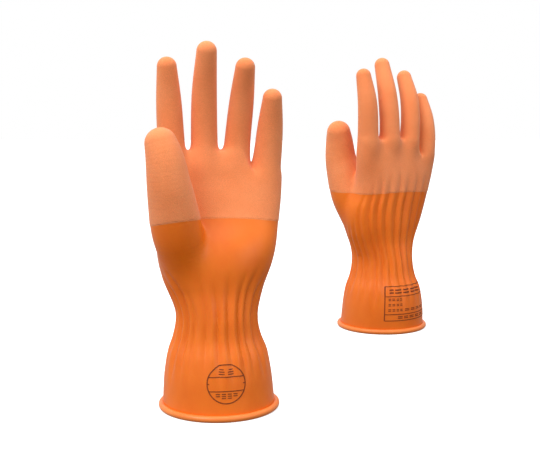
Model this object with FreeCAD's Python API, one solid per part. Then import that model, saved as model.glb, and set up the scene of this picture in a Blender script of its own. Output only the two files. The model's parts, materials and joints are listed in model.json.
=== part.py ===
import FreeCAD, Part
import math
import os

# A pair of low-voltage electrical insulating gloves, standing on their rolled cuff rims.
# The left glove shows its palm to -Y.  The right glove is its mirror image, stands further
# back and shows the back of its hand.  Millimetres, +Z up, origin on the floor under the
# middle of the pair's bounding box.
#
# Each glove is one dipped rubber skin.  It is divided where the rubber bends: at the
# gathered wrist and at two places on every digit, so each stiff stretch is a body and each
# bending stretch is a short ring between two bodies.

V = FreeCAD.Vector

# ---- driving dimensions -------------------------------------------------------------
GLOVE_LENGTH = 295.0      # floor to the top of the middle finger
RUBBER_WALL = 1.0         # dipped rubber, inside the line of the grip coat
COAT = 0.4                # grip film on the hand and the digits
INK = 0.3                 # printed marks, thickened so that they are real solids

BEAD_RADIUS = 2.7         # rolled rim
BEAD_FLAT = 0.3           # how much of the bead's underside is pressed flat by the floor
RIM_CENTRE = (-1.3, 3.4)
RIM_HALF_WIDTH = 49.5     # outside of the bead; from palm to back it is a little less
RIM_HALF_DEPTH = 49.2

WRIST_LOW = 58.0          # the gathered wrist bends between these heights
WRIST_HIGH = 94.0
HEEL_TOP = 140.0          # the heel of the hand and the palm meet here, under the grip coat's edge
BODY_TOP = 190.0          # top of the palm's own loft, just under the little finger's web
WEB_TOP = 206.0           # web between the index, middle and ring fingers

DIP_HEIGHT = 152.5        # grip coat edge at DIP_Y, falling towards the back of the hand
DIP_Y = 8.0
DIP_SLOPE = 0.1

PAIR_SHIFT = (164.0, 305.0)      # right glove from left glove
YAW = {"left": 10.0, "right": 33.0}

# Outer sections of cuff, wrist and palm: height, centre x, centre y, half width, half depth.
SECTIONS = [
    (3.0, -1.5, 3.8, 45.6, 45.4),
    (16.0, -1.7, 4.6, 44.9, 44.8),
    (30.0, -1.9, 5.0, 43.6, 43.5),
    (46.0, -2.1, 5.4, 40.4, 40.3),
    (59.0, -2.5, 5.2, 35.5, 35.3),
    (76.0, -2.5, 4.6, 32.8, 32.4),
    (94.0, -2.9, 4.6, 36.4, 28.9),
    (118.0, -2.4, 6.4, 43.9, 27.6),
    (135.0, -0.6, 9.2, 46.6, 25.0),
    (150.0, 2.3, 13.0, 46.8, 22.0),
    (169.0, 4.0, 17.0, 47.8, 19.0),
    (BODY_TOP, 4.3, 21.0, 49.2, 13.8),
]
KNUCKLES = [(178.0, -9.0, 18.5, 37.0, 14.4), (WEB_TOP, -9.8, 22.5, 36.4, 11.0)]

# Digit centre lines: x, y, z, outer radius.  The last three points are the root pivot, the
# middle pivot and the centre of the round tip.  "flex" is half the length of the bending
# stretch at each pivot.
DIGITS = {
    "thumb": {
        "path": [(-27.2, -2.0, 112, 15.0), (-35.4, -12.0, 146, 20.0), (-39.2, -17.0, 168, 18.6),
                 (-42.2, -19.8, 185, 16.6), (-45.5, -18.8, 206.8, 14.0), (-47.6, -17.2, 215.2, 12.4)],
        "flex": (7.5, 6.5),
    },
    "index": {
        "path": [(-35.2, 16.5, 180, 11.2), (-37.0, 20.5, 216.5, 10.6), (-38.4, 20.4, 248.5, 9.8),
                 (-40.0, 15.5, 275.2, 7.6)],
        "flex": (9.0, 8.0),
    },
    "middle": {
        "path": [(-9.4, 18.5, 180, 10.8), (-9.7, 23.2, 217, 10.5), (-9.8, 18.8, 255, 9.8),
                 (-8.9, 8.0, GLOVE_LENGTH - 7.8, 7.8)],
        "flex": (9.0, 8.0),
    },
    "ring": {
        "path": [(14.4, 20.0, 180, 10.5), (17.8, 24.4, 216.5, 10.2), (20.8, 19.2, 250, 9.5),
                 (22.0, 8.4, 274.6, 7.6)],
        "flex": (9.0, 8.0),
    },
    "little": {
        "path": [(38.0, 17.6, 170, 11.4), (42.4, 21.2, 203.0, 11.1), (44.1, 17.4, 230, 9.8),
                 (44.4, 10.4, 250.2, 7.5)],
        "flex": (8.5, 7.5),
    },
}

# Printed marks on the cuff, on the palm side of the left glove and the back of the right.
STAMP_CENTRE = (-0.5, 29.0)      # x, z
STAMP_RADIUS = 15.0
STAMP_LINE = 0.8
STAMP_BAR_GAP = 5.5              # the two bars lie this far above and below the centre
TABLE_SPAN = (-27.0, 31.0)       # x
TABLE_HEIGHTS = (14.6, 21.4, 40.6, 51.0)
TABLE_LINE = 0.8

FAR = 200.0                      # longer than any solid that a tool shape has to pass


# ---- building blocks ----------------------------------------------------------------
def loft(sections, grow, low=0.0, high=0.0):
    """Solid through ellipses, each grown by `grow`, its ends moved out by `low` and `high`."""
    wires = []
    last = len(sections) - 1
    for i, (z, cx, cy, a, b) in enumerate(sections):
        shift = -low if i == 0 else high if i == last else 0.0
        ellipse = Part.Ellipse(V(cx, cy, z + shift), a + grow, b + grow)
        wires.append(Part.Wire(ellipse.toShape()))
    return Part.makeLoft(wires, True, False)


def disc_edge(station, grow):
    """Circle across a digit, its start point kept in line with its neighbours'."""
    centre, direction, radius = station
    circle = Part.Wire(Part.Circle(V(0, 0, 0), V(0, 0, 1), radius + grow).toShape())
    circle.Placement = FreeCAD.Placement(centre, FreeCAD.Rotation(V(0, 0, 1), direction))
    return circle


def tube(stations, grow, low=0.0, high=0.0):
    """Solid through the circles at `stations`, its ends moved out along the digit."""
    moved = list(stations)
    moved[0] = (stations[0][0] - stations[0][1] * low,) + stations[0][1:]
    moved[-1] = (stations[-1][0] + stations[-1][1] * high,) + stations[-1][1:]
    return Part.makeLoft([disc_edge(s, grow) for s in moved], True, False)


def fingertip(start, end, grow, low=0.0):
    """Cone from `start` to `end`, closed by a half ball."""
    length = (end[0] - start[0]).Length
    r0 = start[2] + grow
    r1 = end[2] + grow
    rim = V(r1, 0, length)
    top = V(0, 0, length + r1)
    shoulder = V(r1 * math.sin(math.pi / 4), 0, length + r1 * math.cos(math.pi / 4))
    foot = V(0, 0, -low)
    edges = [
        Part.LineSegment(foot, V(r0, 0, -low)).toShape(),
        Part.LineSegment(V(r0, 0, -low), rim).toShape(),
        Part.Arc(rim, shoulder, top).toShape(),
        Part.LineSegment(top, foot).toShape(),
    ]
    solid = Part.Face(Part.Wire(edges)).revolve(V(0, 0, 0), V(0, 0, 1), 360)
    solid.Placement = FreeCAD.Placement(start[0], FreeCAD.Rotation(V(0, 0, 1), start[1]))
    return solid


def slab(z_low, z_high):
    """Everything between two heights."""
    return Part.makeBox(2 * FAR, 2 * FAR, z_high - z_low, V(-FAR, -FAR, z_low))


def above_dip_line():
    """Everything on the grip coat's side of the tilted plane where the coat ends."""
    block = Part.makeBox(2 * FAR, 2 * FAR, FAR, V(-FAR, -FAR, 0))
    tilt = FreeCAD.Rotation(V(1, 0, 0), -math.degrees(math.atan(DIP_SLOPE)))
    block.Placement = FreeCAD.Placement(V(0, DIP_Y, DIP_HEIGHT), tilt)
    return block


# ---- a digit's own places -----------------------------------------------------------
def digit_points(name):
    return [(V(x, y, z), r) for x, y, z, r in DIGITS[name]["path"]]


def pivots(name):
    """Root and middle pivot of a digit."""
    points = digit_points(name)
    return points[-3][0], points[-2][0]


def along(a, b, distance):
    """Station on the straight line from point a to point b: centre, direction, radius."""
    direction = (b[0] - a[0]).normalize()
    share = distance / (b[0] - a[0]).Length
    return a[0] + direction * distance, direction, a[1] + (b[1] - a[1]) * share


def bend(a, b, c):
    """Station at point b, on the way from point a to point c."""
    return b[0], (c[0] - a[0]).normalize(), b[1]


def digit_stations(name):
    """The circles that bound a digit's stretches, from the palm to the tip."""
    points = digit_points(name)
    before, root, middle, tip = points[-4:]
    root_half, middle_half = DIGITS[name]["flex"]
    stub_length = (root[0] - before[0]).Length
    base_length = (middle[0] - root[0]).Length
    stub = [along(before, root, 0.0), along(before, root, stub_length - root_half)]
    if len(points) > 4:
        deep, thenar = points[:2]
        stub = [
            along(deep, thenar, 0.0),
            bend(deep, thenar, before),
            bend(thenar, before, root),
            stub[-1],
        ]
    return {
        "stub": stub,
        "root_flex": [stub[-1], bend(before, root, middle), along(root, middle, root_half)],
        "base": [along(root, middle, root_half), along(root, middle, base_length - middle_half)],
        "mid_flex": [
            along(root, middle, base_length - middle_half),
            bend(root, middle, tip),
            along(middle, tip, middle_half),
        ],
        "tip": [along(middle, tip, middle_half), along(middle, tip, (tip[0] - middle[0]).Length)],
    }


# ---- the pieces of one glove, in the left glove's own frame ---------------------------
def glove_volume(grow, over=0.0):
    """Cuff, wrist, palm and digit stubs as one solid.  `over` lengthens the open ends."""
    volume = loft(SECTIONS, grow, low=over, high=grow).fuse(loft(KNUCKLES, grow, high=grow))
    for name in DIGITS:
        volume = volume.fuse(tube(digit_stations(name)["stub"], grow, high=over))
    return volume


def bead():
    """Rolled rim: a round section carried round the ellipse, pressed flat underneath."""
    path = Part.Ellipse(V(*RIM_CENTRE, BEAD_RADIUS), RIM_HALF_WIDTH - BEAD_RADIUS,
                        RIM_HALF_DEPTH - BEAD_RADIUS)
    start = path.value(0)
    section = Part.Wire(Part.Circle(start, V(0, 1, 0), BEAD_RADIUS).toShape())
    ring = Part.Wire(path.toShape()).makePipeShell([section], True, False)
    return ring.common(slab(BEAD_FLAT, FAR)).translated(V(0, 0, -BEAD_FLAT))


def largest(shape):
    """The main solid of a cut, without the crumbs that graze the tool's edge."""
    return max(shape.Solids, key=lambda solid: solid.Volume)


def skin_pieces(rim):
    """Cuff, gathered wrist, heel of the hand, palm and the palm's grip film."""
    outer = glove_volume(0.0)
    shell = outer.cut(glove_volume(-RUBBER_WALL, over=2.0))
    film = glove_volume(COAT).cut(outer)
    return {
        "cuff": shell.common(slab(0.0, WRIST_LOW)).cut(rim),
        "wrist_gathers": shell.common(slab(WRIST_LOW, WRIST_HIGH)),
        "palm_heel": shell.common(slab(WRIST_HIGH, HEEL_TOP)),
        "palm": shell.common(slab(HEEL_TOP, FAR + BODY_TOP)),
        "palm_grip": largest(film.common(above_dip_line())),
    }


def digit_pieces(name):
    """The coated rubber of a digit: two bending rings, the base tube and the closed tip."""
    stations = digit_stations(name)
    pieces = {}
    for stretch in ("root_flex", "base", "mid_flex"):
        outer = tube(stations[stretch], COAT)
        inner = tube(stations[stretch], -RUBBER_WALL, low=1.0, high=1.0)
        pieces[name + "_" + stretch] = outer.cut(inner)
    outer = fingertip(*stations["tip"], COAT)
    inner = fingertip(*stations["tip"], -RUBBER_WALL, low=1.0)
    pieces[name + "_tip"] = outer.cut(inner)
    return pieces


def bar(x, z, width, height):
    """Upright tool block centred on x, z that passes through one side of the cuff."""
    return Part.makeBox(width, FAR, height, V(x - width / 2, 0, z - height / 2))


def ink_film():
    return loft(SECTIONS, INK).cut(loft(SECTIONS, 0.0, low=1.0))


def inspection_stamp():
    """Ring with two bars across it, on the palm side (-Y)."""
    x, z = STAMP_CENTRE
    ring = Part.makeCylinder(STAMP_RADIUS, FAR, V(x, 0, z), V(0, -1, 0))
    ring = ring.cut(Part.makeCylinder(STAMP_RADIUS - STAMP_LINE, FAR, V(x, 0, z), V(0, -1, 0)))
    chord = 2 * math.sqrt((STAMP_RADIUS - STAMP_LINE / 2) ** 2 - STAMP_BAR_GAP ** 2)
    pattern = ring
    for side in (-1, 1):
        stripe = bar(x, z + side * STAMP_BAR_GAP, chord, STAMP_LINE)
        pattern = pattern.fuse(stripe.translated(V(0, -FAR, 0)))
    return ink_film().common(pattern)


def rating_table():
    """Ruled frame with three rows, on the back of the cuff (+Y)."""
    left, right = TABLE_SPAN
    bottom, top = TABLE_HEIGHTS[0], TABLE_HEIGHTS[-1]
    width = right - left + TABLE_LINE
    middle = (left + right) / 2
    pattern = bar(left, (bottom + top) / 2, TABLE_LINE, top - bottom + TABLE_LINE)
    pattern = pattern.fuse(bar(right, (bottom + top) / 2, TABLE_LINE, top - bottom + TABLE_LINE))
    for z in TABLE_HEIGHTS:
        pattern = pattern.fuse(bar(middle, z, width, TABLE_LINE))
    return ink_film().common(pattern)


def glove_pieces():
    """Every piece that both gloves have."""
    rim = bead()
    pieces = {"cuff_bead": rim}
    pieces.update(skin_pieces(rim))
    for name in DIGITS:
        pieces.update(digit_pieces(name))
    return pieces


# ---- the pair -----------------------------------------------------------------------
def place(shape, side):
    """From the left glove's own frame to this glove's place, before the pair is centred."""
    placed = shape.mirror(V(0, 0, 0), V(0, 1, 0)) if side == "right" else shape.copy()
    placed.rotate(V(0, 0, 0), V(0, 0, 1), YAW[side])
    if side == "right":
        placed.translate(V(PAIR_SHIFT[0], PAIR_SHIFT[1], 0))
    return placed


def centring(shapes):
    """Move that puts the origin under the middle of the pair's bounding box."""
    box = Part.makeCompound(shapes).optimalBoundingBox(False, False)
    return V(-(box.XMin + box.XMax) / 2, -(box.YMin + box.YMax) / 2, -box.ZMin)


def build():
    """Every node of the pair by name, and the move that centred it."""
    pieces = glove_pieces()
    nodes = {}
    for side in YAW:
        for name, shape in pieces.items():
            nodes[side + "_" + name] = place(shape, side)
    nodes["left_inspection_stamp"] = place(inspection_stamp(), "left")
    nodes["right_rating_table"] = place(rating_table(), "right")
    move = centring(list(nodes.values()))
    for shape in nodes.values():
        shape.translate(move)
    return nodes, move


if __name__ == "__main__":
    os.makedirs("parts", exist_ok=True)
    for node, shape in build()[0].items():
        shape.exportStep(os.path.join("parts", node + ".step"))
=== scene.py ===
import json
import math

import bmesh
import bpy
import numpy as np
from mathutils import Matrix, Vector


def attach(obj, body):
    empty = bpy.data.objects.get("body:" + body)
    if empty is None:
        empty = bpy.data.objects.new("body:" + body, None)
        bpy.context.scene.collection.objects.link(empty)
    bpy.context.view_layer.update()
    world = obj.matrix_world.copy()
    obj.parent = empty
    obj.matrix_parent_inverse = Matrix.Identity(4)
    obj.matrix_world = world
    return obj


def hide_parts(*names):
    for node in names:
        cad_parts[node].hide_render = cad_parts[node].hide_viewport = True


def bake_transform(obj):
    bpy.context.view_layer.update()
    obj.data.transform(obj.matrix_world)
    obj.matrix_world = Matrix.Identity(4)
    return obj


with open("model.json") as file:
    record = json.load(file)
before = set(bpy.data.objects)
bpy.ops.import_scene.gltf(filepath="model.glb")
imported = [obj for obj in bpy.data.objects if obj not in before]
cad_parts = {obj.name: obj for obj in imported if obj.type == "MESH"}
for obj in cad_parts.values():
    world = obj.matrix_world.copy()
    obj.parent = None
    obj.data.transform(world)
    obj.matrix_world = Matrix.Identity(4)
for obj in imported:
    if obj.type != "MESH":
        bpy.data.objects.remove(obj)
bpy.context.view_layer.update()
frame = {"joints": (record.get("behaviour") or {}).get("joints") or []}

# A pair of dipped rubber insulating gloves.  The skin of one glove is worked out as a field
# (negative inside, zero on the outer surface), turned into a fine mesh, cut where the bodies of
# the frame meet, and placed twice: as it is for the left glove and mirrored for the right one.
# The glove's own frame is in millimetres: +Z up, palm to -Y, thumb to -X.

MM = 0.001
GRID = 1.2       # spacing of the mesh
NET_LOW = (-66.0, -46.0, -6.0)          # corners of the box that the glove is meshed in
NET_HIGH = (60.0, 56.0, 300.0)
WAIST = 76.0                # height of the narrowest section, about which the wrist bends
WALL = 1.3                  # rubber and film together
FILM = 0.35                 # how far the grip film stands proud of the smooth rubber

# Sections of cuff, wrist and palm: height, centre x, centre y, half width, half depth, squareness.
SECTIONS = np.array([
    (-12.0, -1.5, 3.8, 45.6, 45.4, 2.0),
    (3.0, -1.5, 3.8, 45.6, 45.4, 2.0),
    (16.0, -1.7, 4.6, 44.9, 44.8, 2.0),
    (30.0, -1.9, 5.0, 43.6, 43.5, 2.0),
    (46.0, -2.1, 5.4, 40.4, 40.3, 2.0),
    (59.0, -2.5, 5.2, 35.5, 35.3, 2.0),
    (WAIST, -2.5, 4.6, 32.8, 32.4, 2.0),
    (94.0, -2.9, 4.6, 36.4, 28.9, 2.1),
    (118.0, -2.4, 6.4, 43.9, 27.4, 2.2),
    (135.0, -0.6, 9.2, 46.6, 24.8, 2.3),
    (150.0, 2.3, 13.0, 46.8, 21.6, 2.3),
    (169.0, 4.0, 17.0, 47.8, 17.8, 2.3),
    (190.0, 4.0, 21.0, 48.4, 11.4, 2.3),
    (208.0, 3.2, 22.6, 47.4, 7.4, 2.2),
    (225.0, 3.6, 23.5, 48.0, 7.0, 2.2),
])
WEB_HIGH = 206.5            # web between the index, middle and ring fingers
WEB_LOW = 189.0             # web between the ring and little fingers
WEB_STEP = (19.0, 31.0)     # x where the web drops

# Digit centre lines: x, y, z, radius.  The last three rows are the root pivot, the middle pivot
# and the centre of the tip.  "half" is half of the bending stretch at each pivot, and "soft" is
# how widely the digit's root blends into the hand.
DIGITS = {
    "thumb": {
        "line": [(-27.2, -2.0, 112, 14.5), (-35.4, -12.0, 146, 20.0), (-39.2, -17.0, 168, 18.6),
                 (-42.2, -19.8, 185, 16.6), (-45.5, -18.8, 206.8, 14.0), (-47.6, -17.2, 215.2, 12.4)],
        "half": (7.5, 6.5),
        "soft": 3.5,
    },
    "index": {
        "line": [(-32.0, 12.5, 160, 9.0), (-35.2, 16.5, 180, 10.8), (-37.0, 20.5, 216.5, 10.6),
                 (-38.4, 20.4, 248.5, 9.8), (-40.0, 15.5, 275.2, 7.6)],
        "half": (9.0, 8.0),
        "soft": 8.0,
    },
    "middle": {
        "line": [(-9.0, 14.0, 160, 9.0), (-9.4, 18.5, 180, 10.8), (-9.7, 23.2, 217, 10.5),
                 (-9.8, 18.8, 255, 9.8), (-8.9, 8.0, 287.2, 7.8)],
        "half": (9.0, 8.0),
        "soft": 8.0,
    },
    "ring": {
        "line": [(12.0, 16.0, 160, 9.0), (14.4, 20.0, 180, 10.5), (17.8, 24.4, 216.5, 10.2),
                 (20.8, 19.2, 250, 9.5), (22.0, 8.4, 274.6, 7.6)],
        "half": (9.0, 8.0),
        "soft": 8.0,
    },
    "little": {
        "line": [(34.0, 14.5, 150, 9.0), (38.0, 17.6, 170, 11.0), (42.4, 21.2, 203.0, 11.1),
                 (44.1, 17.4, 230, 9.8), (44.4, 10.4, 250.2, 7.5)],
        "half": (8.5, 7.5),
        "soft": 8.0,
    },
}

THUMB_SOFT_LOW = 14.0       # more blending low down on the thumb
THUMB_SOFT_BACK = 12.0      # and on its back
NEAR = 8.0                  # pads, gathers and film are worked out this near to the skin
WEB_SOFT = 7.0              # rounding of the webs' tops
DIGIT_REACH = 30.0          # a digit's field is worked out this far round its centre line
FAR = 60.0                  # its value beyond that, more than any point of the skin has

# Pads and hollows of the hand: centre, spread, height (negative for a hollow).
PADS = [
    ((8.0, -20.0, 129.0), 17.0, 3.4),       # the heel's bulge, above the drawn-in wrist
    ((32.0, -4.0, 128.0), 16.0, 2.2),       # heel of the hand, little finger's side
    ((6.0, -3.0, 166.0), 15.0, -2.4),       # hollow of the palm
    ((-22.0, 8.0, 196.0), 8.0, 1.6),        # pads under the fingers
    ((4.0, 10.0, 196.0), 8.0, 1.4),
    ((28.0, 10.0, 184.0), 9.0, 1.4),
    ((-9.0, 34.0, 205.0), 7.0, 1.2),        # knuckles
    ((17.0, 35.0, 204.0), 7.0, 1.2),
    ((-36.0, 31.0, 203.0), 7.0, 1.0),
    ((40.0, 32.0, 192.0), 7.0, 1.0),
]

# Gathers at the wrist: sharp grooves with rounded ridges between them.
GATHERS = 24                # grooves round the wrist
GATHER_DEPTH = 2.1
GATHER_WIDTH = 1.5          # how quickly a groove's side rises
GATHER_RIDGE = 0.34         # a ridge's height against a groove's depth
GATHER_ROUND = 0.16         # rounds a groove's floor
GATHER_FOOT = 29.0          # height where a groove starts
GATHER_TOP = 118.0          # height where it ends on the palm side
GATHER_BACK = (38.0, 66.0)  # how much higher it ends on the back
GATHER_SEED = 7

DIP = (154.0, 8.0, 0.10)    # the film's edge: height at this y, and its fall towards the back
DIP_BOW = 4.0 / 50.0 ** 2   # the edge also falls with the square of x

# Heights where the skin is divided between bodies.
CUFF_CUT = 52.0
WRIST_CUT = 100.0
CUFF_FOOT = 3.0             # the cuff's wall ends inside the bead
SNAP = 0.12                 # points this near to a dividing plane are moved onto it
DIGIT_SKIN = 6.0            # skin this near to a digit's cones can be the digit's

BEAD_RADIUS = 2.7
RIM_HALF = (49.5, 49.2)
RIM_CENTRE = (-1.3, 3.4)
BEAD_FLAT = 0.3


# ---- the frame ------------------------------------------------------------------------
JOINTS = {j["name"]: j for j in frame["joints"]}
WRIST_PIVOT = (-2.5, 4.6, WAIST)         # the centre of the waist's section


def glove_matrix(side):
    """From a glove's own frame in millimetres to the row's frame in metres."""
    wrist = JOINTS[side + "_wrist"]
    pivot = Vector(wrist.get("pos_m") or wrist["pos"])
    axis = Vector(wrist["axis"])
    mirrored = side == "right"
    yaw = math.atan2(-axis.y, -axis.x) if mirrored else math.atan2(axis.y, axis.x)
    mirror = Matrix.Diagonal((1, -1 if mirrored else 1, 1, 1))
    turn = Matrix.Rotation(yaw, 4, "Z") @ mirror @ Matrix.Scale(MM, 4)
    return Matrix.Translation(pivot - turn @ Vector(WRIST_PIVOT)) @ turn


# ---- field of one glove ---------------------------------------------------------------
def smoothstep(low, high, x):
    t = np.clip((x - low) / (high - low), 0.0, 1.0)
    return t * t * (3.0 - 2.0 * t)


def soft_min(a, b, k):
    h = np.maximum(k - np.abs(a - b), 0.0) / k
    return np.minimum(a, b) - h * h * h * k / 6.0


def soft_max(a, b, k):
    return -soft_min(-a, -b, k)


def smooth_rows(x, table):
    """Rows of a table at x, its first column, along cubic curves through the rows."""
    knots, values = table[:, 0], table[:, 1:]
    slopes = np.gradient(values, knots, axis=0)
    i = np.clip(np.searchsorted(knots, x) - 1, 0, len(knots) - 2)
    span = (knots[i + 1] - knots[i])[:, None]
    t = np.clip((x - knots[i])[:, None] / span, 0.0, 1.0)
    t2, t3 = t * t, t * t * t
    start = values[i] * (2 * t3 - 3 * t2 + 1) + slopes[i] * span * (t3 - 2 * t2 + t)
    return start + values[i + 1] * (3 * t2 - 2 * t3) + slopes[i + 1] * span * (t3 - t2)


def resample(line, steps=7):
    """A digit's centre line as short cones on a smooth curve."""
    rows = np.array(line, float)
    length = np.concatenate([[0.0], np.cumsum(np.linalg.norm(np.diff(rows[:, :3], axis=0), axis=1))])
    table = np.column_stack([length, rows])
    return smooth_rows(np.linspace(0.0, length[-1], steps * (len(rows) - 1) + 1), table)


LINES = {name: resample(digit["line"]) for name, digit in DIGITS.items()}


def body_field(p):
    """Cuff, wrist and palm."""
    row = smooth_rows(p[:, 2], SECTIONS)
    half_x, half_y, n = row[:, 2], row[:, 3], row[:, 4]
    u = np.abs(p[:, 0] - row[:, 0]) / half_x + 1e-4
    v = np.abs(p[:, 1] - row[:, 1]) / half_y + 1e-4
    size = (u ** n + v ** n) ** (1.0 / n)
    slope = size ** (1.0 - n) * np.sqrt((u ** (n - 1) / half_x) ** 2 + (v ** (n - 1) / half_y) ** 2)
    side = (size - 1.0) / slope
    web = WEB_HIGH + (WEB_LOW - WEB_HIGH) * smoothstep(*WEB_STEP, p[:, 0])
    return soft_max(side, p[:, 2] - web, WEB_SOFT)


def chain_field(p, line):
    """A digit: the nearest of its cones."""
    best = np.full(len(p), FAR)
    low = line[:, :3].min(axis=0) - DIGIT_REACH
    high = line[:, :3].max(axis=0) + DIGIT_REACH
    near = np.all((p > low) & (p < high), axis=1)
    q = p[near]
    found = best[near]
    for a, b in zip(line[:-1], line[1:]):
        run = b[:3] - a[:3]
        h = np.clip((q - a[:3]) @ run / (run @ run), 0.0, 1.0)
        gap = np.linalg.norm(q - a[:3] - h[:, None] * run, axis=1)
        found = np.minimum(found, gap - a[3] - h * (b[3] - a[3]))
    best[near] = found
    return best


def make_grooves():
    """The gathers, unevenly spaced: angle, top, foot, depth, width and hook of each groove."""
    rng = np.random.default_rng(GATHER_SEED)
    grooves = []
    for i in range(GATHERS):
        angle = 2 * math.pi * (i + 0.5 + rng.uniform(-0.17, 0.17)) / GATHERS - math.pi
        back = smoothstep(1.3, 2.2, np.array([abs(angle)]))[0]
        top = GATHER_TOP + back * rng.uniform(*GATHER_BACK) + rng.uniform(-9.0, 7.0)
        foot = GATHER_FOOT + rng.uniform(-4.0, 10.0)
        depth = GATHER_DEPTH * rng.uniform(0.65, 1.1)
        width = GATHER_WIDTH * rng.uniform(0.8, 1.2)
        hook = (1.0 - back) * (0.10 * angle + rng.uniform(-0.05, 0.05))
        grooves.append((angle, top, foot, depth, width, hook))
    return grooves


GROOVES = make_grooves()


def gather_field(p):
    """Depth of the gathers at each point: positive in a groove, negative on a ridge."""
    row = smooth_rows(p[:, 2], SECTIONS)
    x, y, z = p[:, 0] - row[:, 0], p[:, 1] - row[:, 1], p[:, 2]
    turn = np.arctan2(x / row[:, 2], -y / row[:, 3])
    reach = np.hypot(row[:, 2] * np.cos(turn), row[:, 3] * np.sin(turn))
    gap = 2 * math.pi * reach / GATHERS
    depth = np.zeros(len(p))
    for angle, top, foot, deep, width, hook in GROOVES:
        middle = angle + hook * smoothstep(top - 28.0, top, z)
        across = (turn - middle + math.pi) % (2 * math.pi) - math.pi
        s = np.sqrt((across * reach) ** 2 + GATHER_ROUND)
        fade = smoothstep(foot - 8.0, foot + 26.0, z) * (1.0 - smoothstep(top - 34.0, top, z))
        wide = width * (1.0 + 0.01 * np.abs(z - WAIST))
        ridge = np.exp(-((s - 0.46 * gap) / (0.25 * gap)) ** 2)
        depth += deep * fade * (np.exp(-s / wide) - GATHER_RIDGE * ridge)
    return depth


def field(p):
    """The whole glove's outer surface."""
    f = body_field(p)
    for name in ("index", "middle", "ring", "little"):
        f = soft_min(f, chain_field(p, LINES[name]), DIGITS[name]["soft"])
    soft = DIGITS["thumb"]["soft"] + THUMB_SOFT_LOW * (1.0 - smoothstep(118.0, 160.0, p[:, 2]))
    soft += THUMB_SOFT_BACK * smoothstep(-6.0, 12.0, p[:, 1])
    f = soft_min(f, chain_field(p, LINES["thumb"]), soft)
    near = np.abs(f) < NEAR
    q = p[near]
    change = np.zeros(len(q))
    for centre, spread, height in PADS:
        change -= height * np.exp(-np.sum((q - centre) ** 2, axis=1) / (2 * spread ** 2))
    low = q[:, 2] < 190.0
    change[low] += gather_field(q[low])
    edge = dip_distance(q)
    change -= FILM * smoothstep(0.0, 1.2, edge)
    f[near] += change
    return f


def dip_distance(p):
    """Height above the film's edge."""
    height, at_y, fall = DIP
    return p[:, 2] - (height - fall * (p[:, 1] - at_y) - DIP_BOW * p[:, 0] ** 2)


def slope_of(p, step=0.15):
    """Value and gradient of the field, by small steps either way."""
    value = field(p)
    grad = np.empty_like(p)
    for axis in range(3):
        shift = np.zeros(3)
        shift[axis] = step
        grad[:, axis] = (field(p + shift) - field(p - shift)) / (2 * step)
    return value, grad


# ---- field to mesh ----------------------------------------------------------------------
def surface_net(low, high, step):
    """Quads round the field's zero, one vertex to each grid cell that it crosses."""
    axes = [np.arange(low[i], high[i] + step, step) for i in range(3)]
    shape = tuple(len(a) for a in axes)
    value = np.empty(shape, np.float32)
    flat = np.array(np.meshgrid(axes[0], axes[1], indexing="ij")).reshape(2, -1).T
    for k, z in enumerate(axes[2]):
        layer = np.column_stack([flat, np.full(len(flat), z)])
        value[:, :, k] = field(layer).reshape(shape[:2])
    inside = value < 0
    cells = tuple(n - 1 for n in shape)
    total = np.zeros(cells + (3,), np.float32)
    count = np.zeros(cells, np.float32)
    corners = [(i, j, k) for i in (0, 1) for j in (0, 1) for k in (0, 1)]

    def corner(data, c):
        return data[c[0]:c[0] + cells[0], c[1]:c[1] + cells[1], c[2]:c[2] + cells[2]]

    for c in corners:
        for axis in range(3):
            if c[axis]:
                continue
            other = tuple(1 if i == axis else v for i, v in enumerate(c))
            a, b = corner(value, c), corner(value, other)
            crossed = corner(inside, c) != corner(inside, other)
            t = np.where(crossed, a / np.where(crossed, a - b, 1.0), 0.0)
            for i in range(3):
                total[..., i] += np.where(crossed, c[i] + (t if i == axis else 0.0), 0.0)
            count += crossed
    used = count > 0
    index = np.full(cells, -1, np.int64)
    index[used] = np.arange(used.sum())
    where = np.argwhere(used)
    verts = (where + total[used] / count[used][:, None]) * step + np.array([a[0] for a in axes])
    quads = []
    for axis in range(3):
        u, v = (axis + 1) % 3, (axis + 2) % 3
        where = np.argwhere(inside != np.roll(inside, -1, axis))
        keep = (where[:, axis] < cells[axis]) & (where[:, u] > 0) & (where[:, v] > 0)
        keep &= (where[:, u] < cells[u]) & (where[:, v] < cells[v])
        where = where[keep]
        ring = []
        for du, dv in ((1, 1), (0, 1), (0, 0), (1, 0)):
            cell = where.copy()
            cell[:, u] -= du
            cell[:, v] -= dv
            ring.append(index[cell[:, 0], cell[:, 1], cell[:, 2]])
        quad = np.column_stack(ring)
        outward = inside[where[:, 0], where[:, 1], where[:, 2]]
        quad[~outward] = quad[~outward][:, ::-1]
        quads.append(quad)
    return verts.astype(float), np.vstack(quads)


def settle(verts, quads, rounds=3):
    """Move the net onto the surface and even out its cells."""
    edges = np.vstack([quads[:, [i, (i + 1) % 4]] for i in range(4)])
    degree = np.bincount(edges[:, 0], minlength=len(verts)).astype(float)
    for _ in range(rounds):
        mean = np.zeros_like(verts)
        for axis in range(3):
            mean[:, axis] = np.bincount(edges[:, 0], verts[edges[:, 1], axis], len(verts))
        mean /= degree[:, None]
        grad = slope_of(verts)[1]
        normal = grad / np.linalg.norm(grad, axis=1)[:, None]
        drift = mean - verts
        drift -= normal * np.sum(drift * normal, axis=1)[:, None]
        verts = verts + 0.5 * drift
        for _ in range(2):
            value, grad = slope_of(verts)
            verts = verts - grad * (value / np.maximum(np.sum(grad ** 2, axis=1), 0.05))[:, None]
    return verts


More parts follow.
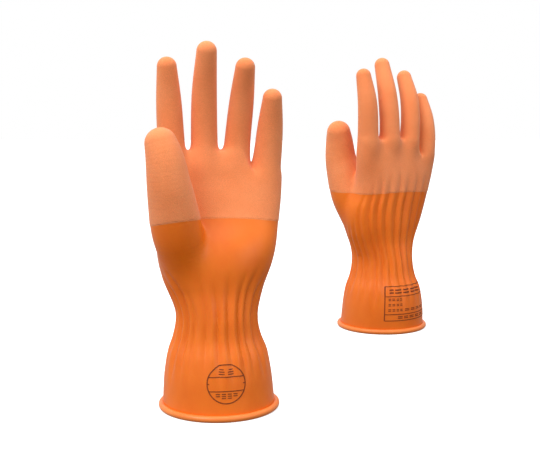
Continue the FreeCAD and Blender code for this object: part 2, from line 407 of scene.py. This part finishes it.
# ---- cutting ----------------------------------------------------------------------------
def digit_planes(name):
    """Where a digit's skin is divided: just below its root's bend, and between its two bends."""
    line = DIGITS[name]["line"]
    before, root, middle, tip = [Vector(row[:3]) for row in line[-4:]]
    root_half, middle_half = DIGITS[name]["half"]
    up = (root - before).normalized()
    along = (middle - root).normalized()
    out = (tip - middle).normalized()
    base_low = root + along * root_half
    base_high = middle - along * middle_half
    return {
        "root_cut": (root - up * (root_half + 0.6), up),
        "root_bend": (root - up * root_half, base_low),
        "middle_cut": ((base_low + base_high) / 2, along),
        "middle_bend": (base_high, middle + out * middle_half),
    }


PLANES = {name: digit_planes(name) for name in DIGITS}


def owner_of(p):
    """The nearest digit of each point, and how far away its skin is."""
    names = list(DIGITS)
    gaps = np.array([chain_field(p, LINES[n]) for n in names])
    return np.array(names)[gaps.argmin(axis=0)], gaps.min(axis=0)


def cut_skin(verts, quads):
    """Cut the net along every dividing plane and return its points and faces."""
    bm = bmesh.new()
    made = [bm.verts.new(v) for v in verts]
    for q in quads:
        bm.faces.new([made[i] for i in q])
    bm.faces.ensure_lookup_table()

    def bisect(centre, normal, chosen):
        geometry = set(chosen)
        for face in chosen:
            geometry.update(face.edges)
            geometry.update(face.verts)
        bmesh.ops.bisect_plane(bm, geom=list(geometry), dist=SNAP, plane_co=centre, plane_no=normal)

    def near_plane(centre, normal, reach=200.0):
        chosen = []
        for face in bm.faces:
            offset = face.verts[0].co - centre
            if abs(offset.dot(normal)) < 3 * GRID and offset.length < reach:
                chosen.append(face)
        return chosen

    def unbow(sign):
        for v in bm.verts:
            v.co.z += sign * DIP_BOW * v.co.x ** 2

    for height in (CUFF_FOOT, CUFF_CUT, WRIST_CUT):
        centre, normal = Vector((0, 0, height)), Vector((0, 0, 1))
        bisect(centre, normal, near_plane(centre, normal))
    height, at_y, fall = DIP
    centre, normal = Vector((0, at_y, height)), Vector((0, fall, 1)).normalized()
    unbow(1)
    bisect(centre, normal, near_plane(centre, normal))
    unbow(-1)
    for name, planes in PLANES.items():
        for key in ("root_cut", "middle_cut"):
            centre, normal = planes[key]
            chosen = near_plane(centre, normal, 40.0)
            owner, gap = owner_of(np.array([f.calc_center_median() for f in chosen]))
            mine = (owner == name) & (gap < DIGIT_SKIN)
            bisect(centre, normal, [f for f, m in zip(chosen, mine) if m])
    bmesh.ops.triangulate(bm, faces=[f for f in bm.faces if len(f.verts) > 4])
    bm.verts.index_update()
    points = np.array([v.co[:] for v in bm.verts])
    faces = [[v.index for v in f.verts] for f in bm.faces]
    bm.free()
    return points, faces


def name_regions(points, faces):
    """The piece that each face belongs to."""
    middle = np.array([points[f].mean(axis=0) for f in faces])
    owner, gap = owner_of(middle)
    region = np.full(len(faces), "palm_film", dtype=object)
    region[dip_distance(middle) < 0] = "palm"
    region[middle[:, 2] < WRIST_CUT] = "wrist"
    region[middle[:, 2] < CUFF_CUT] = "cuff"
    region[middle[:, 2] < CUFF_FOOT] = ""
    for name, planes in PLANES.items():
        mine = (owner == name) & (gap < DIGIT_SKIN)
        for key, label in (("root_cut", "_lower"), ("middle_cut", "_upper")):
            centre, normal = planes[key]
            region[mine & ((middle - np.array(centre)) @ np.array(normal) > 0)] = name + label
    return region


def make_skin():
    """Points, normals, faces and regions of the outer skin of a glove."""
    verts, quads = surface_net(NET_LOW, NET_HIGH, GRID)
    verts = settle(verts, quads)
    points, faces = cut_skin(verts, quads)
    grad = slope_of(points)[1]
    normals = grad / np.linalg.norm(grad, axis=1)[:, None]
    return points, normals, faces, name_regions(points, faces)


# ---- pieces -----------------------------------------------------------------------------
def link(name, mesh, material):
    piece = bpy.data.objects.new(name, mesh)
    bpy.context.scene.collection.objects.link(piece)
    mesh.materials.append(material)
    return piece


def shell_mesh(name, points, normals, faces, matrix):
    """Closed wall: the outer skin, the inner skin and the rims between them."""
    used = sorted({i for f in faces for i in f})
    place = {old: new for new, old in enumerate(used)}
    outer = points[used]
    normal = normals[used]
    count = len(used)
    fronts = [[place[i] for i in f] for f in faces]
    backs = [[i + count for i in reversed(f)] for f in fronts]
    border = {}
    for f in fronts:
        for a, b in zip(f, f[1:] + f[:1]):
            if border.pop((b, a), None) is None:
                border[(a, b)] = True
    rims = [[b, a, a + count, b + count] for a, b in border]
    co = np.vstack([outer, outer - normal * WALL])
    all_faces = fronts + backs + rims
    if matrix.determinant() < 0:
        all_faces = [f[::-1] for f in all_faces]
    place_array = np.array(matrix)
    co = co @ place_array[:3, :3].T + place_array[:3, 3]
    mesh = bpy.data.meshes.new(name)
    mesh.from_pydata(co.tolist(), [], all_faces)
    turned = normal @ place_array[:3, :3].T
    turned /= np.linalg.norm(turned, axis=1)[:, None]
    vertex_normals = np.vstack([turned, -turned])
    mesh.polygons.foreach_set("use_smooth", [True] * len(mesh.polygons))
    loop_vertex = np.empty(len(mesh.loops), np.int64)
    mesh.loops.foreach_get("vertex_index", loop_vertex)
    loop_normals = vertex_normals[loop_vertex]
    first_rim = len(fronts) + len(backs)
    for polygon in mesh.polygons[first_rim:]:
        loop_normals[polygon.loop_start:polygon.loop_start + polygon.loop_total] = polygon.normal
    mesh.normals_split_custom_set(loop_normals.tolist())
    mesh.validate()
    return mesh


def bead_mesh(name, matrix, around=220, section=28):
    """Rolled rim: a round section carried round the mouth, slightly uneven, flat underneath."""
    co, faces = [], []
    for i in range(around):
        a = 2 * math.pi * i / around
        swell = 1.0 + 0.018 * math.sin(3 * a + 0.8) + 0.012 * math.sin(7 * a + 2.0)
        for j in range(section):
            b = 2 * math.pi * j / section
            out = BEAD_RADIUS * math.cos(b) * swell
            up = BEAD_RADIUS * math.sin(b)
            x = RIM_CENTRE[0] + (RIM_HALF[0] - BEAD_RADIUS + out) * math.cos(a)
            y = RIM_CENTRE[1] + (RIM_HALF[1] - BEAD_RADIUS + out) * math.sin(a)
            z = max(BEAD_RADIUS + up, BEAD_FLAT) - BEAD_FLAT
            co.append(matrix @ Vector((x, y, z)))
            k, m = (i + 1) % around, (j + 1) % section
            faces.append([i * section + j, k * section + j, k * section + m, i * section + m])
    if matrix.determinant() < 0:
        faces = [f[::-1] for f in faces]
    mesh = bpy.data.meshes.new(name)
    mesh.from_pydata(co, [], faces)
    mesh.polygons.foreach_set("use_smooth", [True] * len(faces))
    return mesh


# ---- print ------------------------------------------------------------------------------
INK_LIFT = 0.12                 # the print reaches this far above and below the skin
INK_THICK = 0.10                # and this much higher
STAMP_LINE = 0.6
STAMP_RING = 0.75
STAMP_BAR_GAP = 5.5             # the two bars lie this far above and below the centre
STAMP_TICK = 1.6
TABLE_LINE = 0.7
TABLE_EDGE = 0.8
STAMP_CENTRE = (-0.5, 29.0)     # x, z on the left glove's palm side
STAMP_RADIUS = 15.0
TABLE_SPAN = (-27.0, 31.0)      # x on the right glove's back
TABLE_HEIGHTS = (14.6, 21.4, 40.6, 51.0)


def on_cuff(points, side_sign):
    """Points (x, z) laid on the cuff's palm side (-1) or back (+1), with the skin's normals."""
    inner = np.zeros(len(points))
    outer = np.full(len(points), side_sign * FAR)
    for _ in range(24):
        middle = (inner + outer) / 2
        outside = field(np.column_stack([points[:, 0], middle, points[:, 1]])) > 0
        outer = np.where(outside, middle, outer)
        inner = np.where(outside, inner, middle)
    p = np.column_stack([points[:, 0], outer, points[:, 1]])
    grad = slope_of(p)[1]
    return p, grad / np.linalg.norm(grad, axis=1)[:, None]


def ribbon(path, width, closed=False, step=0.5):
    """Strip of quads along a flat path, its ends square."""
    path = [np.array(p, float) for p in path]
    if closed:
        path.append(path[0])
    dense = []
    for a, b in zip(path[:-1], path[1:]):
        n = max(1, int(round(np.linalg.norm(b - a) / step)))
        dense += [a + (b - a) * i / n for i in range(n)]
    if not closed:
        dense.append(path[-1])
    dense = np.array(dense)
    ahead = np.roll(dense, -1, axis=0) - np.roll(dense, 1, axis=0)
    if not closed:
        ahead[0], ahead[-1] = dense[1] - dense[0], dense[-1] - dense[-2]
    ahead /= np.linalg.norm(ahead, axis=1)[:, None]
    across = np.column_stack([-ahead[:, 1], ahead[:, 0]]) * width / 2
    points = np.stack([dense - across, dense, dense + across], axis=1).reshape(-1, 2)
    faces = []
    count = len(dense)
    for i in range(count if closed else count - 1):
        k = (i + 1) % count
        for j in range(2):
            faces.append([i * 3 + j, i * 3 + j + 1, k * 3 + j + 1, k * 3 + j])
    return points, faces


def ink_mesh(name, strips, side_sign, matrix):
    """Thin closed print laid on the cuff."""
    co, faces = [], []
    for points, quads in strips:
        on, normal = on_cuff(points, side_sign)
        base = len(co)
        count = len(points)
        top = on + normal * (INK_LIFT + INK_THICK)
        co += top.tolist() + (on - normal * INK_LIFT).tolist()
        border = {}
        for q in quads:
            faces.append([base + i for i in q])
            faces.append([base + i + count for i in reversed(q)])
            for a, b in zip(q, q[1:] + q[:1]):
                if border.pop((b, a), None) is None:
                    border[(a, b)] = True
        faces += [[base + b, base + a, base + a + count, base + b + count] for a, b in border]
    mesh = bpy.data.meshes.new(name)
    mesh.from_pydata([matrix @ Vector(p) for p in co], [], faces)
    mesh.validate()
    bm = bmesh.new()
    bm.from_mesh(mesh)
    bmesh.ops.recalc_face_normals(bm, faces=bm.faces)
    bm.to_mesh(mesh)
    bm.free()
    return mesh


def dash(x, z, width, height):
    """One plain level bar, centred on x, z, in place of lettering."""
    return ribbon([(x - width / 2, z), (x + width / 2, z)], height)


def stamp_strips():
    """Inspection mark: a ring, two bars across it, side ticks and rows of plain bars."""
    (cx, cz), radius = STAMP_CENTRE, STAMP_RADIUS
    turns = np.linspace(0, 2 * math.pi, 120, endpoint=False)
    ring = [(cx + radius * math.cos(t), cz + radius * math.sin(t)) for t in turns]
    strips = [ribbon(ring, STAMP_RING, closed=True)]
    chord = math.sqrt(radius ** 2 - STAMP_BAR_GAP ** 2)
    for side in (-1, 1):
        z = cz + side * STAMP_BAR_GAP
        strips.append(ribbon([(cx - chord, z), (cx + chord, z)], STAMP_LINE))
        tick = [(cx + side * radius, cz), (cx + side * (radius - STAMP_TICK), cz)]
        strips.append(ribbon(tick, STAMP_LINE))
    for x in (-3.6, 3.6):
        for dz, width in ((7.6, 4.4), (9.4, 4.4), (11.2, 4.4 * 0.7)):
            strips.append(dash(cx + x, cz + dz, width, 0.7))
    for x in (-6.9, -2.3, 2.3, 6.9):
        for dz in (-7.6, -9.2, -10.8):
            if abs(x) < 5 or dz > -10:
                strips.append(dash(cx + x, cz + dz, 3.2, 0.6))
    return strips


def table_strips():
    """Rating table: ruled frame and rows of plain bars."""
    left, right = TABLE_SPAN
    low, high = TABLE_HEIGHTS[0], TABLE_HEIGHTS[-1]
    strips = [ribbon([(x, low), (x, high)], TABLE_EDGE) for x in TABLE_SPAN]
    strips += [ribbon([(left, z), (right, z)], TABLE_LINE) for z in TABLE_HEIGHTS]
    short = [(x, 2.6) for x in (-22.5, -18.4, -14.3, -10.2)]
    rows = [                    # height, how tall, and the bars' centres and widths
        (45.8, 4.6, [(-20.5, 4.6), (-12.5, 8.6), (-2.0, 8.6), (8.0, 7.0), (17.0, 6.5)]),
        (37.2, 2.4, short),
        (31.6, 2.4, short),
        (26.0, 2.4, short + [(x, 5.6) for x in (-3.0, 5.0, 13.0, 21.0)]),
        (18.0, 2.6, [(-11.5, 5.0), (-4.5, 5.0), (3.0, 6.0), (11.5, 6.0), (20.0, 6.0)]),
    ]
    for z, tall, bars in rows:
        for x, width in bars:
            for side in (-1, 1):
                strips.append(dash(x, z + side * 0.32 * tall, width, 0.3 * tall))
    return [(widen_with_cuff(points), faces) for points, faces in strips]


def widen_with_cuff(points):
    """Spread upright lines towards the rim, as they run on the flared cuff."""
    middle = (TABLE_HEIGHTS[0] + TABLE_HEIGHTS[-1]) / 2
    half = smooth_rows(points[:, 1], SECTIONS)[:, 2]
    here = smooth_rows(np.array([middle]), SECTIONS)[0, 2]
    return np.column_stack([points[:, 0] * half / here, points[:, 1]])


# ---- materials --------------------------------------------------------------------------
def new_material(name):
    material = bpy.data.materials.new(name)
    material.use_nodes = True
    tree = material.node_tree
    shader = tree.nodes["Principled BSDF"]
    return material, tree, shader


def noise(tree, scale, detail, rough=0.5, stretch=(1, 1, 1)):
    """Noise in the object's own metres."""
    place = tree.nodes.new("ShaderNodeTexCoord")
    mapping = tree.nodes.new("ShaderNodeMapping")
    mapping.inputs["Scale"].default_value = stretch
    texture = tree.nodes.new("ShaderNodeTexNoise")
    texture.inputs["Scale"].default_value = scale
    texture.inputs["Detail"].default_value = detail
    texture.inputs["Roughness"].default_value = rough
    tree.links.new(place.outputs["Object"], mapping.inputs["Vector"])
    tree.links.new(mapping.outputs["Vector"], texture.inputs["Vector"])
    return texture.outputs["Fac"]


def ramp(tree, value, stops):
    """Colour ramp: (position, colour) pairs."""
    node = tree.nodes.new("ShaderNodeValToRGB")
    node.color_ramp.elements[0].position, node.color_ramp.elements[0].color = stops[0]
    node.color_ramp.elements[1].position, node.color_ramp.elements[1].color = stops[-1]
    for position, colour in stops[1:-1]:
        node.color_ramp.elements.new(position).color = colour
    tree.links.new(value, node.inputs["Fac"])
    return node.outputs["Color"]


def bump(tree, height, distance, strength, normal=None):
    node = tree.nodes.new("ShaderNodeBump")
    node.inputs["Distance"].default_value = distance
    node.inputs["Strength"].default_value = strength
    tree.links.new(height, node.inputs["Height"])
    if normal is not None:
        tree.links.new(normal, node.inputs["Normal"])
    return node.outputs["Normal"]


def rubber_material(name, low, high, roughness):
    """Smooth dipped rubber: faint cloudiness, satin gloss and a very slight orange peel."""
    material, tree, shader = new_material(name)
    cloud = noise(tree, 38.0, 4.0, 0.6, (1, 1, 0.6))
    tree.links.new(ramp(tree, cloud, [(0.32, low), (0.68, high)]), shader.inputs["Base Color"])
    gloss = ramp(tree, noise(tree, 160.0, 3.0), [(0.3, (roughness - 0.05,) * 3 + (1,)),
                                                 (0.7, (roughness + 0.06,) * 3 + (1,))])
    tree.links.new(gloss, shader.inputs["Roughness"])
    tree.links.new(bump(tree, noise(tree, 420.0, 2.0), 0.00035, 0.12), shader.inputs["Normal"])
    shader.inputs["Specular IOR Level"].default_value = 0.38
    shader.inputs["Subsurface Weight"].default_value = 0.12
    shader.inputs["Subsurface Radius"].default_value = (1.0, 0.35, 0.1)
    shader.inputs["Subsurface Scale"].default_value = 0.003
    return material


def film_material(name, low, high):
    """Grip film: matte, finely rough, with paler worn grains."""
    material, tree, shader = new_material(name)
    cloud = noise(tree, 30.0, 3.0, 0.55)
    base = ramp(tree, cloud, [(0.3, low), (0.7, high)])
    grain = noise(tree, 1500.0, 2.0, 0.6, (1, 1, 1.35))
    specks = ramp(tree, grain, [(0.35, (0.80, 0.80, 0.80, 1)), (0.65, (1.12, 1.12, 1.12, 1))])
    mix = tree.nodes.new("ShaderNodeMix")
    mix.data_type = "RGBA"
    mix.blend_type = "MULTIPLY"
    mix.inputs["Factor"].default_value = 0.55
    tree.links.new(base, mix.inputs["A"])
    tree.links.new(specks, mix.inputs["B"])
    tree.links.new(mix.outputs["Result"], shader.inputs["Base Color"])
    tree.links.new(bump(tree, grain, 0.0005, 0.55), shader.inputs["Normal"])
    shader.inputs["Roughness"].default_value = 0.82
    shader.inputs["Specular IOR Level"].default_value = 0.25
    shader.inputs["Sheen Weight"].default_value = 0.15
    shader.inputs["Sheen Roughness"].default_value = 0.6
    shader.inputs["Subsurface Weight"].default_value = 0.15
    shader.inputs["Subsurface Radius"].default_value = (1.0, 0.4, 0.2)
    shader.inputs["Subsurface Scale"].default_value = 0.003
    return material


def ink_material(name):
    """Stamped ink: dark red-brown, thin and patchy."""
    material, tree, shader = new_material(name)
    patch = noise(tree, 900.0, 3.0, 0.7)
    colour = ramp(tree, patch, [(0.35, (0.095, 0.022, 0.008, 1)), (0.72, (0.30, 0.062, 0.012, 1))])
    tree.links.new(colour, shader.inputs["Base Color"])
    shader.inputs["Roughness"].default_value = 0.7
    shader.inputs["Specular IOR Level"].default_value = 0.2
    return material


SMOOTH = rubber_material("smooth_rubber", (0.76, 0.142, 0.003, 1), (0.82, 0.172, 0.006, 1), 0.40)
BEAD = rubber_material("bead_rubber", (0.80, 0.195, 0.030, 1), (0.85, 0.230, 0.045, 1), 0.36)
GRIP = film_material("grip_film", (0.82, 0.230, 0.070, 1), (0.88, 0.272, 0.095, 1))
PRINT = ink_material("stamp_ink")


def dress(side, skin, mark):
    """Every piece of one glove and the CAD nodes that it stands for; the cuff's and the hand's pieces
    are attached to their bodies.
    """
    points, normals, faces, regions = skin
    matrix = glove_matrix(side)
    cuff, hand = side + "_cuff_body", side + "_hand"

    def shell(region, suffix, material):
        chosen = [f for f, r in zip(faces, regions) if r == region]
        name = side + "_" + suffix
        return link(name, shell_mesh(name, points, normals, chosen, matrix), material)

    piece = shell("cuff", "cuff_skin", SMOOTH)
    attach(piece, cuff)
    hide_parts(side + "_cuff")

    piece = link(side + "_rolled_bead", bead_mesh(side + "_rolled_bead", matrix), BEAD)
    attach(piece, cuff)
    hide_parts(side + "_cuff_bead")

    piece = shell("wrist", "wrist_skin", SMOOTH)
    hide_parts(side + "_wrist_gathers")
    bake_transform(piece)

    piece = shell("palm", "palm_skin", SMOOTH)
    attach(piece, hand)
    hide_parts(side + "_palm_heel", side + "_palm")

    piece = shell("palm_film", "palm_film", GRIP)
    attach(piece, hand)
    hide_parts(side + "_palm_grip")

    for name, planes in PLANES.items():
        piece = shell(name + "_lower", name + "_lower_skin", GRIP)
        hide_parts(f"{side}_{name}_root_flex", f"{side}_{name}_base")
        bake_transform(piece)
        piece = shell(name + "_upper", name + "_upper_skin", GRIP)
        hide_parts(f"{side}_{name}_mid_flex", f"{side}_{name}_tip")
        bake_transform(piece)

    node, strips, side_sign = mark
    piece = link(node + "_print", ink_mesh(node + "_print", strips, side_sign, matrix), PRINT)
    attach(piece, cuff)
    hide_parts(node)


skin = make_skin()
dress("left", skin, ("left_inspection_stamp", stamp_strips(), -1))
dress("right", skin, ("right_rating_table", table_strips(), 1))


# ---- stage ------------------------------------------------------------------------------
CAMERA_HEIGHT = 0.245
CAMERA_BACK = 0.7905        # from the left glove's axis
CAMERA_ASIDE = 0.040
CAMERA_PITCH = 6.90         # degrees down
LENS = 66.2

FLOOR_HALF = 6.0
FLOOR_GLOW = 0.45           # enough to make the lit floor white

SKY_MIDDLE = 0.58           # strength of the surrounding light at the horizon
SKY_SLOPE = (-0.16, 0.06, 0.55)         # how it grows along X, Y and Z


def make_floor():
    """White floor.  It shows to the camera and takes shadows, but throws no light back up."""
    mesh = bpy.data.meshes.new("floor")
    corners = [(x * FLOOR_HALF, y * FLOOR_HALF, 0) for x, y in ((-1, -1), (1, -1), (1, 1), (-1, 1))]
    mesh.from_pydata(corners, [], [(0, 1, 2, 3)])
    material, _, shader = new_material("white_floor")
    shader.inputs["Base Color"].default_value = (0.85, 0.85, 0.85, 1)
    shader.inputs["Roughness"].default_value = 0.95
    shader.inputs["Specular IOR Level"].default_value = 0.1
    shader.inputs["Emission Color"].default_value = (1, 1, 1, 1)
    shader.inputs["Emission Strength"].default_value = FLOOR_GLOW
    floor = link("floor", mesh, material)
    floor.visible_diffuse = False
    floor.visible_glossy = False


def area_light(name, place, target, size, power):
    light = bpy.data.lights.new(name, "AREA")
    light.energy = power
    light.size = size
    lamp = bpy.data.objects.new(name, light)
    lamp.location = place
    lamp.rotation_euler = (Vector(target) - Vector(place)).to_track_quat("-Z", "Y").to_euler()
    bpy.context.scene.collection.objects.link(lamp)


def make_camera():
    axis = glove_matrix("left") @ Vector((0, 0, 0))
    data = bpy.data.cameras.new("camera")
    data.lens = LENS
    camera = bpy.data.objects.new("camera", data)
    camera.location = (axis.x + CAMERA_ASIDE, axis.y - CAMERA_BACK, CAMERA_HEIGHT)
    camera.rotation_euler = (math.radians(90 - CAMERA_PITCH), 0, 0)
    bpy.context.scene.collection.objects.link(camera)
    bpy.context.scene.camera = camera


def make_world():
    """White surroundings, whose light on the gloves is stronger from above than from below."""
    world = bpy.data.worlds.new("studio")
    world.use_nodes = True
    tree = world.node_tree
    seen = tree.nodes["Background"]
    seen.inputs["Color"].default_value = (1, 1, 1, 1)
    light = tree.nodes.new("ShaderNodeBackground")
    light.inputs["Color"].default_value = (1, 1, 1, 1)
    way = tree.nodes.new("ShaderNodeTexCoord")
    dot = tree.nodes.new("ShaderNodeVectorMath")
    dot.operation = "DOT_PRODUCT"
    dot.inputs[1].default_value = SKY_SLOPE
    add = tree.nodes.new("ShaderNodeMath")
    add.inputs[1].default_value = SKY_MIDDLE
    tree.links.new(way.outputs["Generated"], dot.inputs[0])
    tree.links.new(dot.outputs["Value"], add.inputs[0])
    tree.links.new(add.outputs["Value"], light.inputs["Strength"])
    path = tree.nodes.new("ShaderNodeLightPath")
    mix = tree.nodes.new("ShaderNodeMixShader")
    tree.links.new(path.outputs["Is Camera Ray"], mix.inputs["Fac"])
    tree.links.new(light.outputs["Background"], mix.inputs[1])
    tree.links.new(seen.outputs["Background"], mix.inputs[2])
    tree.links.new(mix.outputs["Shader"], tree.nodes["World Output"].inputs["Surface"])
    bpy.context.scene.world = world


make_floor()
make_world()
make_camera()
area_light("key", (-1.20, -1.40, 1.95), (0, 0, 0.15), 1.1, 34.0)
area_light("fill", (1.1, -1.0, 0.7), (0, 0, 0.15), 1.0, 4.5)
area_light("top", (0.0, -0.1, 1.5), (0, 0, 0.1), 0.9, 8.0)
bpy.context.scene.view_settings.view_transform = "Standard"
